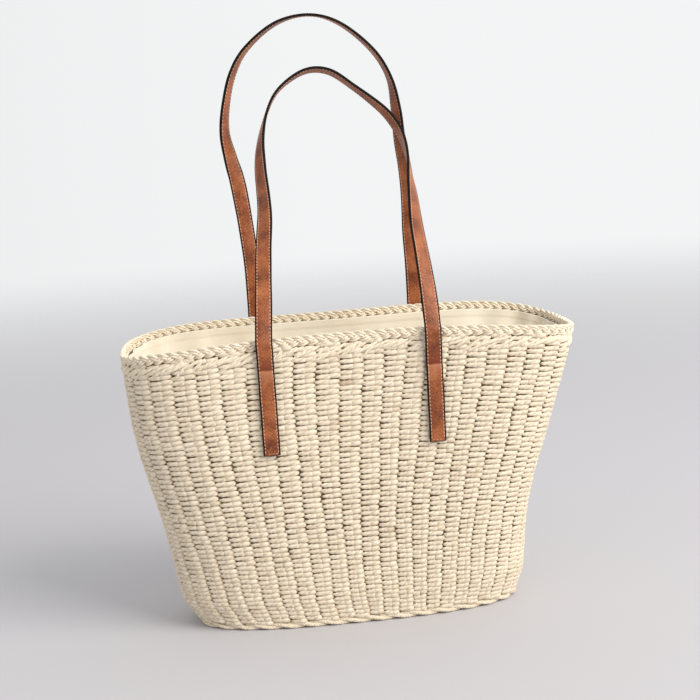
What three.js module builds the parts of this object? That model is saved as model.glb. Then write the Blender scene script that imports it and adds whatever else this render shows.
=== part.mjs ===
// A woven straw basket bag with a plaited rim, a roped foot, a cloth lining and two leather handles.
// Millimetres. +X runs along the mouth, -Y is the front, +Z is up, and the origin is on the ground under the middle.

import * as THREE from 'three';

// Basket
const MOUTH_WIDTH = 430;
const MOUTH_DEPTH = 152;
const BASE_WIDTH = 312;
const BASE_DEPTH = 116;
const HEIGHT = 284;
const LEFT_DROOP = 11;
const RIGHT_DROOP = 15;
const WALL = 3.2;
const FLOOR = 4;
const RIB_COUNT = 52;
const RIB_RELIEF = 1.1;
const GAP = 0.3;

// Plaited rim and roped foot
const BRAID_WIDTH = 9.5;
const BRAID_HEIGHT = 10;
const BRAID_NOTCH = 0.7;
const BORDER_WIDTH = 4.6;
const BORDER_HEIGHT = 7;
const BORDER_NOTCH = 0.7;

// Lining
const CLOTH = 1.2;
const LINING_GAP = 0.7;
const FOLD_DEPTH = 9;
const HEM_GATHER = 0.35;
const FOLD_START = 0.86;
const FOLD_END = 0.2;

// Handles
const STRAP_WIDTH = 15.5;
const STRAP_THICKNESS = 3;
const STRAP_CHAMFER = 0.7;
const STRAP_SPACING = 154;
const BACK_RIGHT_SHIFT = 9;
const SEWN_END = 108;
const SEWN_START = 31;
const FRONT_RISE = 242;
const BACK_RISE = 293;

// Facets
const POINTS_AROUND = 2 * RIB_COUNT;
const BORDER_POINTS = 90;
const LINING_POINTS = 80;
const OUTLINE_STEPS = 720;
const STRAP_STEPS = 56;

// How the wall opens on its way up: shares of the way from the base size to the mouth size
const SECTIONS = [
  { up: 0.0, left: 0.0, right: 0.0, depth: 0.0 },
  { up: 0.1, left: 0.26, right: 0.15, depth: 0.18 },
  { up: 0.38, left: 0.48, right: 0.3, depth: 0.62 },
  { up: 0.7, left: 0.79, right: 0.74, depth: 0.91 },
  { up: 1.0, left: 0.89, right: 1.11, depth: 1.0 },
];

// Squareness of the plan outline, and how much the mouth is pinched in its middle
const BASE_SQUARENESS = 2.7;
const MOUTH_SQUARENESS = 3.2;
const MOUTH_PINCH = 0.39;
const FRONT_DROOP_POWER = 2.5;
const BACK_DROOP_POWER = 5;

// Rings of the basket wall: shares of the wall's height above the foot and below the plait. The inner face
// and the lining use the same ones, so that the cloth follows the wall.
const WALL_RINGS = [0, 0.05, 0.14, 0.26, 0.4, 0.55, 0.7, 0.84, 0.94, 1];
const INNER_RINGS = [1, 0.86, 0.6, 0.34, 0.14, 0.03];
const RIBS_FULL_FROM = 0.14;
const RIBS_FULL_TO = 0.84;

// Soft folds of the lining: shares of the way round from the right end over the back, and of the fold depth
const FOLDS = [
  { around: 0.04, spread: 0.016, depth: 0.75 },
  { around: 0.095, spread: 0.012, depth: 0.9 },
  { around: 0.15, spread: 0.014, depth: 0.5 },
  { around: 0.36, spread: 0.014, depth: 0.7 },
  { around: 0.405, spread: 0.011, depth: 1.0 },
  { around: 0.46, spread: 0.016, depth: 0.8 },
  { around: 0.54, spread: 0.014, depth: 0.6 },
  { around: 0.62, spread: 0.016, depth: 0.45 },
  { around: 0.87, spread: 0.016, depth: 0.5 },
  { around: 0.96, spread: 0.014, depth: 0.7 },
];

// The free run of each handle, from the left leg to the right one. across is a share of half the strap
// spacing, rise a share of the handle's rise, back a share of half the mouth depth, and turn the angle
// of the strap's width from front-to-back, in degrees.
const FRONT_RUN = [
  { across: -0.955, rise: 0.145, back: -0.87, turn: 82 },
  { across: -0.9, rise: 0.31, back: -0.5, turn: 68 },
  { across: -0.83, rise: 0.46, back: -0.03, turn: 53 },
  { across: -0.82, rise: 0.62, back: 0.47, turn: 38 },
  { across: -0.78, rise: 0.725, back: 0.77, turn: 16 },
  { across: -0.67, rise: 0.835, back: 0.95, turn: -3 },
  { across: -0.49, rise: 0.927, back: 1.01, turn: -8 },
  { across: -0.15, rise: 0.993, back: 1.05, turn: -13 },
  { across: 0.17, rise: 0.988, back: 1.05, turn: -14 },
  { across: 0.49, rise: 0.915, back: 1.01, turn: -13 },
  { across: 0.82, rise: 0.823, back: 0.97, turn: -22 },
  { across: 0.975, rise: 0.757, back: 0.94, turn: -23 },
  { across: 1.045, rise: 0.695, back: 0.81, turn: -14 },
  { across: 1.065, rise: 0.62, back: 0.56, turn: 6 },
  { across: 1.035, rise: 0.515, back: 0.16, turn: 35 },
  { across: 0.995, rise: 0.368, back: -0.32, turn: 58 },
  { across: 0.995, rise: 0.248, back: -0.66, turn: 67 },
  { across: 1.0, rise: 0.124, back: -0.92, turn: 80 },
];
const BACK_RUN = [
  { across: -1.0, rise: 0.153, back: 1.09, turn: -86 },
  { across: -1.04, rise: 0.313, back: 1.1, turn: -85 },
  { across: -1.1, rise: 0.456, back: 1.09, turn: -88 },
  { across: -1.17, rise: 0.544, back: 1.08, turn: -57 },
  { across: -1.22, rise: 0.63, back: 1.07, turn: -36 },
  { across: -1.18, rise: 0.721, back: 1.05, turn: -26 },
  { across: -1.065, rise: 0.823, back: 1.04, turn: -22 },
  { across: -0.86, rise: 0.905, back: 1.03, turn: -15 },
  { across: -0.47, rise: 0.98, back: 1.015, turn: -7 },
  { across: -0.04, rise: 1.002, back: 1.01, turn: 2 },
  { across: 0.35, rise: 0.968, back: 1.015, turn: -2 },
  { across: 0.74, rise: 0.878, back: 1.03, turn: -6 },
  { across: 0.95, rise: 0.782, back: 1.045, turn: -9 },
  { across: 1.02, rise: 0.673, back: 1.06, turn: -28 },
  { across: 1.045, rise: 0.571, back: 1.075, turn: -37 },
  { across: 1.09, rise: 0.476, back: 1.085, turn: -46 },
  { across: 1.115, rise: 0.391, back: 1.095, turn: -60 },
  { across: 1.11, rise: 0.255, back: 1.1, turn: -74 },
  { across: 1.12, rise: 0.119, back: 1.08, turn: -84 },
];

const lerp = THREE.MathUtils.lerp;
const radians = THREE.MathUtils.degToRad;

// Value of a column of a table at a place between its rows, on a smooth curve through them
function smoothColumn(rows, column, place) {
  const last = rows.length - 1;
  const k = Math.min(Math.floor(place), last - 1);
  const t = place - k;
  const at = (i) => rows[Math.max(0, Math.min(last, i))][column];
  const [p0, p1, p2, p3] = [at(k - 1), at(k), at(k + 1), at(k + 2)];
  const slope1 = (p2 - p0) / 2;
  const slope2 = (p3 - p1) / 2;
  const a = 2 * p1 - 2 * p2 + slope1 + slope2;
  const b = -3 * p1 + 3 * p2 - 2 * slope1 - slope2;
  return ((a * t + b) * t + slope1) * t + p1;
}

// Share of the way from base size to mouth size at a share of the height
function opening(column, up) {
  let k = 0;
  while (k < SECTIONS.length - 2 && up > SECTIONS[k + 1].up) k += 1;
  const low = SECTIONS[k];
  const high = SECTIONS[k + 1];
  const place = k + THREE.MathUtils.clamp((up - low.up) / (high.up - low.up), 0, 1);
  return smoothColumn(SECTIONS, column, place);
}

// Half width on one side, half depth in the middle, and squareness of the plan outline at a height share
function planSizes(up) {
  const left = lerp(BASE_WIDTH, MOUTH_WIDTH, opening('left', up)) / 2;
  const right = lerp(BASE_WIDTH, MOUTH_WIDTH, opening('right', up)) / 2;
  const depth = lerp(BASE_DEPTH, MOUTH_DEPTH, opening('depth', up)) / 2;
  const squareness = lerp(BASE_SQUARENESS, MOUTH_SQUARENESS, up);
  return { left, right, depth, squareness, pinch: MOUTH_PINCH * up };
}

// Height of the rim, which droops towards the two ends: early along the front, late along the back
function rimHeight(u, y) {
  const droop = u < 0 ? LEFT_DROOP : RIGHT_DROOP;
  return HEIGHT - droop * Math.abs(u) ** (y > 0 ? BACK_DROOP_POWER : FRONT_DROOP_POWER);
}

// A closed plan outline at a height share, as points with the outward normal, evenly spaced along it
function outline(up, count) {
  const size = planSizes(up);
  const dense = [];
  for (let i = 0; i <= OUTLINE_STEPS; i += 1) {
    const angle = (2 * Math.PI * i) / OUTLINE_STEPS;
    const c = Math.cos(angle);
    const s = Math.sin(angle);
    const half = c < 0 ? size.left : size.right;
    const u = Math.sign(c) * Math.abs(c) ** (2 / size.squareness);
    const bulge = size.depth * (1 + size.pinch * u * u);
    dense.push({ x: half * u, y: bulge * Math.sign(s) * Math.abs(s) ** (2 / size.squareness), u });
  }
  const run = [0];
  for (let i = 1; i < dense.length; i += 1) {
    run.push(run[i - 1] + Math.hypot(dense[i].x - dense[i - 1].x, dense[i].y - dense[i - 1].y));
  }
  const total = run[OUTLINE_STEPS];
  const points = [];
  let k = 0;
  for (let i = 0; i < count; i += 1) {
    const goal = (total * i) / count;
    while (run[k + 1] < goal) k += 1;
    const t = (goal - run[k]) / (run[k + 1] - run[k]);
    points.push({
      x: lerp(dense[k].x, dense[k + 1].x, t),
      y: lerp(dense[k].y, dense[k + 1].y, t),
      u: lerp(dense[k].u, dense[k + 1].u, t),
    });
  }
  return points.map((point, i) => {
    const next = points[(i + 1) % count];
    const before = points[(i + count - 1) % count];
    const length = Math.hypot(next.x - before.x, next.y - before.y);
    return { ...point, nx: (next.y - before.y) / length, ny: -(next.x - before.x) / length };
  });
}

// Half depth of the smooth wall's outer face at a place along the mouth and a height, on the side of sign
function wallDepth(x, z, sign) {
  let up = z / HEIGHT;
  for (let i = 0; i < 4; i += 1) {
    const size = planSizes(up);
    up = z / rimHeight(x / (x < 0 ? size.left : size.right), sign);
  }
  const size = planSizes(up);
  const u = x / (x < 0 ? size.left : size.right);
  const n = size.squareness;
  return size.depth * (1 + size.pinch * u * u) * (1 - Math.abs(u) ** n) ** (1 / n);
}

// Mesh helpers

function solid(name, positions, faces, material) {
  const geometry = new THREE.BufferGeometry();
  geometry.setAttribute('position', new THREE.Float32BufferAttribute(positions.flat(), 3));
  geometry.setIndex(faces.flat());
  geometry.computeVertexNormals();
  const mesh = new THREE.Mesh(geometry, material);
  mesh.name = name;
  return mesh;
}

// Joins a list of rings with the same number of points, each anticlockwise about the run, and closes
// both ends on a middle point
function skinOfRings(rings) {
  const count = rings[0].length;
  const positions = rings.flat();
  const faces = [];
  for (let r = 0; r < rings.length - 1; r += 1) {
    for (let i = 0; i < count; i += 1) {
      const a = r * count + i;
      const b = r * count + ((i + 1) % count);
      faces.push([a, b, b + count], [a, b + count, a + count]);
    }
  }
  const middle = (ring) => [0, 1, 2].map((axis) => ring.reduce((sum, p) => sum + p[axis], 0) / count);
  const first = positions.push(middle(rings[0])) - 1;
  const last = positions.push(middle(rings[rings.length - 1])) - 1;
  const top = (rings.length - 1) * count;
  for (let i = 0; i < count; i += 1) {
    const j = (i + 1) % count;
    faces.push([first, j, i], [last, top + i, top + j]);
  }
  return { positions, faces };
}

// Joins a closed loop of sections with the same number of points
function skinOfLoop(sections) {
  const count = sections[0].length;
  const total = sections.length;
  const positions = sections.flat();
  const faces = [];
  for (let r = 0; r < total; r += 1) {
    for (let i = 0; i < count; i += 1) {
      const a = r * count + i;
      const b = r * count + ((i + 1) % count);
      const c = ((r + 1) % total) * count + ((i + 1) % count);
      const d = ((r + 1) % total) * count + i;
      faces.push([a, b, c], [a, c, d]);
    }
  }
  return { positions, faces };
}

// Basket body: an open woven shell with upright ribs and a flat floor

const FOOT_INSET = BORDER_WIDTH + GAP;
const LEDGE = 3;
const footTop = BORDER_HEIGHT + GAP;
const wallTop = (point) => rimHeight(point.u, point.y) - BRAID_HEIGHT - GAP;

// One ring of the wall, at a share of the way from the foot ledge to the plait, set in from the outline
function wallRing(share, inset, count, relief) {
  const up = lerp((footTop + LEDGE) / HEIGHT, 1 - (BRAID_HEIGHT + GAP) / HEIGHT, share);
  return outline(up, count).map((point, i) => {
    const rib = i % 2 === 0 ? relief : 0;
    const push = rib - inset;
    const z = lerp(footTop + LEDGE, wallTop(point), share);
    return [point.x + point.nx * push, point.y + point.ny * push, z];
  });
}

// One ring of the tucked-in foot, at a fixed height
function footRing(z, inset, count) {
  return outline(0, count).map((point) => [
    point.x - point.nx * inset,
    point.y - point.ny * inset,
    z,
  ]);
}

function basketBody(material) {
  const rings = [footRing(0, FOOT_INSET, POINTS_AROUND), footRing(footTop, FOOT_INSET, POINTS_AROUND)];
  for (const share of WALL_RINGS) {
    const fade = Math.min(1, share / RIBS_FULL_FROM, (1 - share) / (1 - RIBS_FULL_TO));
    rings.push(wallRing(share, 0, POINTS_AROUND, RIB_RELIEF * fade));
  }
  for (const share of INNER_RINGS) rings.push(wallRing(share, WALL, POINTS_AROUND, 0));
  rings.push(footRing(footTop, FOOT_INSET + WALL, POINTS_AROUND));
  rings.push(footRing(FLOOR, FOOT_INSET + WALL, POINTS_AROUND));
  const { positions, faces } = skinOfRings(rings);
  return solid('basket_body', positions, faces, material);
}

// A plump band round the basket: its section is a named polygon of shares of its half width and half height
const BAND_SECTION = [
  { out: -1, high: 0 },
  { out: -0.55, high: 1 },
  { out: 0.55, high: 1 },
  { out: 1, high: 0 },
  { out: 0.55, high: -1 },
  { out: -0.55, high: -1 },
];

function band(name, points, sizes, material) {
  const sections = points.map((point, i) => {
    const notch = i % 2 === 0 ? 0 : sizes.notch;
    const halfWidth = sizes.width / 2 - notch / 2;
    const halfHeight = sizes.height / 2;
    return BAND_SECTION.map((corner) => {
      const push = sizes.centre + corner.out * halfWidth;
      const shorter = corner.high > 0 ? notch * sizes.notchedTop : 0;
      const z = point.low + halfHeight + corner.high * halfHeight - shorter;
      return [point.x + point.nx * push, point.y + point.ny * push, z];
    });
  });
  const { positions, faces } = skinOfLoop(sections);
  return solid(name, positions, faces, material);
}

// Plaited rim: rests on the edge of the wall
function rimBraid(material) {
  const up = 1 - (BRAID_HEIGHT / 2) / HEIGHT;
  const points = outline(up, POINTS_AROUND).map((point) => ({
    ...point,
    low: rimHeight(point.u, point.y) - BRAID_HEIGHT,
  }));
  const sizes = {
    width: BRAID_WIDTH,
    height: BRAID_HEIGHT,
    centre: -WALL / 2,
    notch: BRAID_NOTCH,
    notchedTop: 1,
  };
  return band('rim_braid', points, sizes, material);
}

// Roped foot: a twisted border laid round the tucked-in bottom of the wall
function baseBorder(material) {
  const points = outline(0, BORDER_POINTS).map((point) => ({ ...point, low: 0 }));
  const sizes = {
    width: BORDER_WIDTH,
    height: BORDER_HEIGHT,
    centre: -BORDER_WIDTH / 2,
    notch: BORDER_NOTCH,
    notchedTop: 0,
  };
  return band('base_border', points, sizes, material);
}

// Lining: a cloth bag sewn in below the plait, with soft folds towards the ends

function foldAt(around) {
  let sum = 0;
  for (const fold of FOLDS) {
    const away = Math.abs(((around - fold.around + 1.5) % 1) - 0.5);
    sum += fold.depth * Math.exp(-0.5 * (away / fold.spread) ** 2);
  }
  return FOLD_DEPTH * Math.min(sum, 1);
}

// How far the folds stand out at a height: a little at the sewn hem, in full below it, none at the floor
function foldShare(share) {
  const below = THREE.MathUtils.smoothstep(1 - share, 0, 1 - FOLD_START);
  const above = THREE.MathUtils.smoothstep(share, 0, FOLD_END);
  return lerp(HEM_GATHER, 1, below) * above;
}

function liningRing(share, thickness) {
  const up = lerp((footTop + LEDGE) / HEIGHT, 1 - (BRAID_HEIGHT + GAP) / HEIGHT, share);
  return outline(up, LINING_POINTS).map((point, i) => {
    const inset = WALL + LINING_GAP + foldAt(i / LINING_POINTS) * foldShare(share) + thickness;
    const z = lerp(footTop + LEDGE, wallTop(point), share);
    return [point.x - point.nx * inset, point.y - point.ny * inset, z];
  });
}

function liningFootRing(z, thickness) {
  const inset = FOOT_INSET + WALL + LINING_GAP + thickness;
  return footRing(z, inset, LINING_POINTS);
}

function lining(material) {
  const under = FLOOR + GAP;
  const rings = [liningFootRing(under, 0), liningFootRing(footTop, 0)];
  for (const share of [...INNER_RINGS].reverse()) rings.push(liningRing(share, 0));
  for (const share of INNER_RINGS) rings.push(liningRing(share, CLOTH));
  rings.push(liningFootRing(footTop, CLOTH), liningFootRing(under + CLOTH, CLOTH));
  const { positions, faces } = skinOfRings(rings);
  return solid('lining', positions, faces, material);
}

// Handles: a flat strap sewn outside the wall at both ends, turned a quarter in each leg

// Section of the strap: chamfered corners, in shares of the half width and half thickness
const EDGE_SHARE = 1 - STRAP_CHAMFER / (STRAP_WIDTH / 2);
const FACE_SHARE = 1 - STRAP_CHAMFER / (STRAP_THICKNESS / 2);
const STRAP_SECTION = [
  [EDGE_SHARE, 1],
  [-EDGE_SHARE, 1],
  [-1, FACE_SHARE],
  [-1, -FACE_SHARE],
  [-EDGE_SHARE, -1],
  [EDGE_SHARE, -1],
  [1, -FACE_SHARE],
  [1, FACE_SHARE],
];

// Places of the sewn leg: drops below the rim, from the cut end to the top of the plait
const LEG_STEP = (SEWN_END - SEWN_START) / 3;
const SEWN_DROPS = [SEWN_END, SEWN_END - LEG_STEP, SEWN_START + LEG_STEP, SEWN_START, BRAID_HEIGHT, 0];

function sewnLeg(x, sign, turn) {
  const rest = GAP + STRAP_THICKNESS / 2;
  return SEWN_DROPS.map((drop) => {
    const top = rimHeight(x / (MOUTH_WIDTH / 2), sign);
    const onWall = wallDepth(x, top - drop, sign) + RIB_RELIEF + rest;
    const proud = BRAID_WIDTH / 2 - WALL / 2 - RIB_RELIEF;
    const y = sign * (onWall + (drop <= BRAID_HEIGHT ? proud + GAP : 0));
    return { x, y, z: top - drop, turn };
  });
}

// All rows of a handle. rightShift is how much farther out its right leg is sewn
function strapRows(run, rise, sign, rightShift) {
  const top = rimHeight(STRAP_SPACING / MOUTH_WIDTH, sign);
  const free = run.map((row) => ({
    x: (row.across * STRAP_SPACING) / 2,
    y: (row.back * MOUTH_DEPTH) / 2,
    z: top + row.rise * rise,
    turn: row.turn,
  }));
  const turn = -sign * 90;
  const left = sewnLeg(-STRAP_SPACING / 2, sign, turn);
  const right = sewnLeg(STRAP_SPACING / 2 + rightShift, sign, turn);
  return [...left, ...free, ...right.reverse()];
}

function strap(name, run, rise, sign, rightShift, material) {
  const rows = strapRows(run, rise, sign, rightShift);
  const at = (place) => new THREE.Vector3(
    smoothColumn(rows, 'x', place),
    smoothColumn(rows, 'y', place),
    smoothColumn(rows, 'z', place),
  );
  const last = rows.length - 1;
  const ahead = new THREE.Vector3();
  const backward = new THREE.Vector3(0, 1, 0);
  const sections = [];
  for (let i = 0; i <= STRAP_STEPS; i += 1) {
    const place = (last * i) / STRAP_STEPS;
    const before = at(Math.max(0, place - 0.02));
    ahead.subVectors(at(Math.min(last, place + 0.02)), before).normalize();
    const level = backward.clone().addScaledVector(ahead, -ahead.dot(backward)).normalize();
    const across = new THREE.Vector3().crossVectors(ahead, level);
    const turn = radians(smoothColumn(rows, 'turn', place));
    const wide = level.multiplyScalar(Math.cos(turn)).addScaledVector(across, Math.sin(turn));
    const thick = new THREE.Vector3().crossVectors(ahead, wide);
    const centre = at(place);
    sections.push(STRAP_SECTION.map(([w, t]) => centre.clone()
      .addScaledVector(wide, (w * STRAP_WIDTH) / 2)
      .addScaledVector(thick, (t * STRAP_THICKNESS) / 2)
      .toArray()));
  }
  const { positions, faces } = skinOfRings(sections);
  return solid(name, positions, faces, material);
}

// Assembly

const straw = new THREE.MeshStandardMaterial({ color: 0xe9d6ae, roughness: 0.85, metalness: 0 });
const cotton = new THREE.MeshStandardMaterial({ color: 0xeee0c4, roughness: 0.95, metalness: 0 });
const leather = new THREE.MeshStandardMaterial({ color: 0x9c5230, roughness: 0.5, metalness: 0 });

const bag = new THREE.Group();
bag.add(basketBody(straw));
bag.add(rimBraid(straw));
bag.add(baseBorder(straw));
bag.add(lining(cotton));
bag.add(strap('front_handle', FRONT_RUN, FRONT_RISE, -1, 0, leather));
bag.add(strap('back_handle', BACK_RUN, BACK_RISE, 1, BACK_RIGHT_SHIFT, leather));

export default bag;
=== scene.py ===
# %% [markdown]
# A straw basket bag, cord by cord. The real bag is twined from twisted paper straw round upright
# stakes, closed at the top with a flat plait, edged at the foot with a rope, lined with cotton and
# carried by two stitched leather straps. The plain model of the bag is loaded first and holds every
# size and place. Everything below is worked out with numpy as surfaces over that frame.

# %% Load the plain model
import math

import bpy
import numpy as np
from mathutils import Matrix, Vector


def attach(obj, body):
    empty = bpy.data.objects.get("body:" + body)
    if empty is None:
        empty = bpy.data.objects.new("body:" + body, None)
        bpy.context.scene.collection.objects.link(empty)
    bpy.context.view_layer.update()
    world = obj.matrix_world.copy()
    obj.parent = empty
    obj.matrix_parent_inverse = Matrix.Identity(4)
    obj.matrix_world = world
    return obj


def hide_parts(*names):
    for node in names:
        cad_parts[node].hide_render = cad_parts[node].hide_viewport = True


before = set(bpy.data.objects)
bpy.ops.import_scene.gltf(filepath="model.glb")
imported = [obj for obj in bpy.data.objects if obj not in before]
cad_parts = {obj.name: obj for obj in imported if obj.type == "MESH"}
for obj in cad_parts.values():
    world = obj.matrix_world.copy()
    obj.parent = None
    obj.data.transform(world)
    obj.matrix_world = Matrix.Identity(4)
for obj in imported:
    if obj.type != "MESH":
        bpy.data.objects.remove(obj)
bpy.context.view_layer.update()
MM = 0.001
TURN = 2 * math.pi
luck = np.random.default_rng(7)

# %% [markdown]
# The camera is the first thing to settle, because every later decision is judged through it. The
# photo was taken from a little to the left of the bag's middle, just above the rim, with the bag
# leaning in the picture by about four degrees. The bag stands upright here, so the camera takes
# that roll. A camera matrix is three unit vectors: right, up and backwards.

# %% Camera
CAMERA_PLACE = (-0.1207, -1.3355, 0.4709)
CAMERA_YAW = math.radians(5.517)
CAMERA_PITCH = math.radians(-9.176)
CAMERA_ROLL = math.radians(-3.854)
LENS_MM = 72.36

forward = np.array([
    math.sin(CAMERA_YAW) * math.cos(CAMERA_PITCH),
    math.cos(CAMERA_YAW) * math.cos(CAMERA_PITCH),
    math.sin(CAMERA_PITCH),
])
level = np.array([math.cos(CAMERA_YAW), -math.sin(CAMERA_YAW), 0.0])
upward = np.cross(level, forward)
right = math.cos(CAMERA_ROLL) * level + math.sin(CAMERA_ROLL) * upward
upward = -math.sin(CAMERA_ROLL) * level + math.cos(CAMERA_ROLL) * upward

camera_data = bpy.data.cameras.new("camera")
camera_data.lens = LENS_MM
camera_data.sensor_width = 36
camera = bpy.data.objects.new("camera", camera_data)
bpy.context.scene.collection.objects.link(camera)
bpy.context.scene.camera = camera
pose = np.eye(4)
pose[:3, 0], pose[:3, 1], pose[:3, 2], pose[:3, 3] = right, upward, -forward, CAMERA_PLACE
camera.matrix_world = pose.T.tolist()
print("camera looks along", forward.round(3))

# %% [markdown]
# One helper turns arrays into a mesh. A grid of points is joined by quads, a closed grid wraps
# round, and a tube ends in a pole at each end, so that no piece has an open edge. The signed volume
# of a closed mesh tells whether its faces point outwards, and if it is negative they are turned.

# %% Mesh helpers
def quads_of_grid(rows, columns, wrap_rows=False, wrap_columns=False):
    """Corner indices of the quads of a grid of points that is stored row by row."""
    r = np.arange(rows if wrap_rows else rows - 1)
    c = np.arange(columns if wrap_columns else columns - 1)
    r, c = np.meshgrid(r, c, indexing="ij")
    below, beside = (r + 1) % rows, (c + 1) % columns
    corners = [r * columns + c, r * columns + beside, below * columns + beside, below * columns + c]
    return np.stack(corners, -1).reshape(-1, 4)


def uv_of_grid(rows, columns, along, round_it, wrap_rows=False, wrap_columns=False):
    """A UV pair for each corner of those quads: along[row] and round_it[column], both with one value
    more than the grid where it wraps."""
    r = np.arange(rows if wrap_rows else rows - 1)
    c = np.arange(columns if wrap_columns else columns - 1)
    r, c = np.meshgrid(r, c, indexing="ij")
    u = np.stack([along[r], along[r], along[r + 1], along[r + 1]], -1)
    v = np.stack([round_it[c], round_it[c + 1], round_it[c + 1], round_it[c]], -1)
    return np.stack([u, v], -1).reshape(-1, 4, 2)


def signed_volume(points, faces):
    """Six times the volume that the fans of the faces enclose, positive if they point outwards."""
    total = 0.0
    for group in faces:
        first = points[group[:, 0]]
        for k in range(1, group.shape[1] - 1):
            total += (first * np.cross(points[group[:, k]], points[group[:, k + 1]])).sum()
    return total


def mesh_piece(name, points, faces, materials, uvs=None, tone=None, slots=None):
    """A mesh object from points, groups of faces with the same number of corners, a UV pair for each
    corner, a tone for each point and a material slot for each face."""
    if signed_volume(points, faces) < 0:
        faces = [group[:, ::-1] for group in faces]
        uvs = None if uvs is None else [group[:, ::-1] for group in uvs]
    sizes = np.concatenate([np.full(len(group), group.shape[1]) for group in faces])
    corners = np.concatenate([group.ravel() for group in faces])
    mesh = bpy.data.meshes.new(name)
    mesh.vertices.add(len(points))
    mesh.vertices.foreach_set("co", points.astype(np.float32).ravel())
    mesh.loops.add(len(corners))
    mesh.loops.foreach_set("vertex_index", corners.astype(np.int32))
    mesh.polygons.add(len(sizes))
    mesh.polygons.foreach_set("loop_start", (np.cumsum(sizes) - sizes).astype(np.int32))
    mesh.polygons.foreach_set("use_smooth", np.ones(len(sizes), bool))
    if slots is not None:
        mesh.polygons.foreach_set("material_index", slots.astype(np.int32))
    if uvs is not None:
        flat = np.concatenate([group.reshape(-1, 2) for group in uvs])
        mesh.uv_layers.new(name="UVMap").data.foreach_set("uv", flat.astype(np.float32).ravel())
    if tone is not None:
        mesh.attributes.new("tone", "FLOAT", "POINT").data.foreach_set("value", tone.astype(np.float32))
    mesh.update(calc_edges=True)
    mesh.validate()
    for material in materials:
        mesh.materials.append(material)
    piece = bpy.data.objects.new(name, mesh)
    bpy.context.scene.collection.objects.link(piece)
    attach(piece, "root")
    triangles = int((sizes - 2).sum())
    print(f"{name}: {triangles} triangles")
    return piece


def cords_mesh(name, rings, starts, ends, along, material, tone):
    """Many closed cords in one mesh. rings holds, for each cord, its rings of points, and starts and
    ends the poles that close them. along is the length in metres at the start pole, the rings and the
    end pole of each cord, for the UV map; the other UV direction goes once round the cord. tone has one
    value for each of these places too."""
    cords, count, sides, _ = rings.shape
    each = count * sides + 2
    block = np.concatenate([starts[:, None], rings.reshape(cords, -1, 3), ends[:, None]], 1)
    base = (np.arange(cords) * each)[:, None, None]
    side = quads_of_grid(count, sides, wrap_columns=True) + 1
    k = np.arange(sides)
    after = (k + 1) % sides
    last = 1 + (count - 1) * sides
    first_fan = np.stack([np.zeros(sides, int), 1 + after, 1 + k], -1)
    last_fan = np.stack([np.full(sides, each - 1), last + k, last + after], -1)
    v = np.arange(sides + 1) / sides
    ring_u = along[:, 1:-1]
    r = np.repeat(np.arange(count - 1), sides)
    c = np.tile(k, count - 1)
    side_u = np.stack([ring_u[:, r], ring_u[:, r], ring_u[:, r + 1], ring_u[:, r + 1]], -1)
    side_v = np.stack([v[c], v[c + 1], v[c + 1], v[c]], -1)[None].repeat(cords, 0)
    fan_u0 = np.stack([along[:, :1], ring_u[:, :1], ring_u[:, :1]], -1).repeat(sides, 1)
    fan_u1 = np.stack([along[:, -1:], ring_u[:, -1:], ring_u[:, -1:]], -1).repeat(sides, 1)
    fan_v0 = np.stack([v[k], v[k + 1], v[k]], -1)[None].repeat(cords, 0)
    fan_v1 = np.stack([v[k], v[k], v[k + 1]], -1)[None].repeat(cords, 0)
    faces = [(base + side).reshape(-1, 4), (base + np.concatenate([first_fan, last_fan])).reshape(-1, 3)]
    tones = np.concatenate([tone[:, :1], np.repeat(tone[:, 1:-1], sides, 1), tone[:, -1:]], 1)
    fan_u, fan_v = np.concatenate([fan_u0, fan_u1], 1), np.concatenate([fan_v0, fan_v1], 1)
    uvs = [
        np.stack([side_u, side_v], -1).reshape(-1, 4, 2),
        np.stack([fan_u, fan_v], -1).reshape(-1, 3, 2),
    ]
    return mesh_piece(name, block.reshape(-1, 3), faces, [material], uvs, tones.ravel())


def capped_stack(rings, first_pole, last_pole):
    """Points and faces of rings stacked one after the other, with a fan to a pole at each end."""
    points = np.concatenate([*rings, [first_pole, last_pole]])
    count, sides = len(rings), len(rings[0])
    k = np.arange(sides)
    after = (k + 1) % sides
    end = (count - 1) * sides
    first_fan = np.stack([np.full(sides, count * sides), after, k], -1)
    last_fan = np.stack([np.full(sides, count * sides + 1), end + k, end + after], -1)
    return points, [quads_of_grid(count, sides, wrap_columns=True), np.concatenate([first_fan, last_fan])]


# %% [markdown]
# The wall of the basket is one smooth surface. Its outline from above is a superellipse, a rounded
# box whose squareness grows towards the mouth; its half widths to the left and right and its half
# depth follow a short table on the way up. Every cord is later placed by three numbers: how far
# round the wall it is, how far up, and how far it stands out.

# %% The wall as a surface
MOUTH_WIDTH, MOUTH_DEPTH = 430 * MM, 152 * MM
BASE_WIDTH, BASE_DEPTH = 312 * MM, 116 * MM
HEIGHT, LEFT_DROOP, RIGHT_DROOP = 284 * MM, 11 * MM, 15 * MM
FRONT_DROOP_POWER, BACK_DROOP_POWER = 2.5, 5
WALL, FLOOR = 3.2 * MM, 4 * MM
BASE_SQUARENESS, MOUTH_SQUARENESS, MOUTH_PINCH = 2.7, 3.2, 0.39
SECTION_UP = np.array([0.0, 0.1, 0.38, 0.7, 1.0])
SECTION_LEFT = np.array([0.0, 0.26, 0.48, 0.79, 0.89])
SECTION_RIGHT = np.array([0.0, 0.15, 0.3, 0.74, 1.11])
SECTION_DEPTH = np.array([0.0, 0.18, 0.62, 0.91, 1.0])


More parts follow.
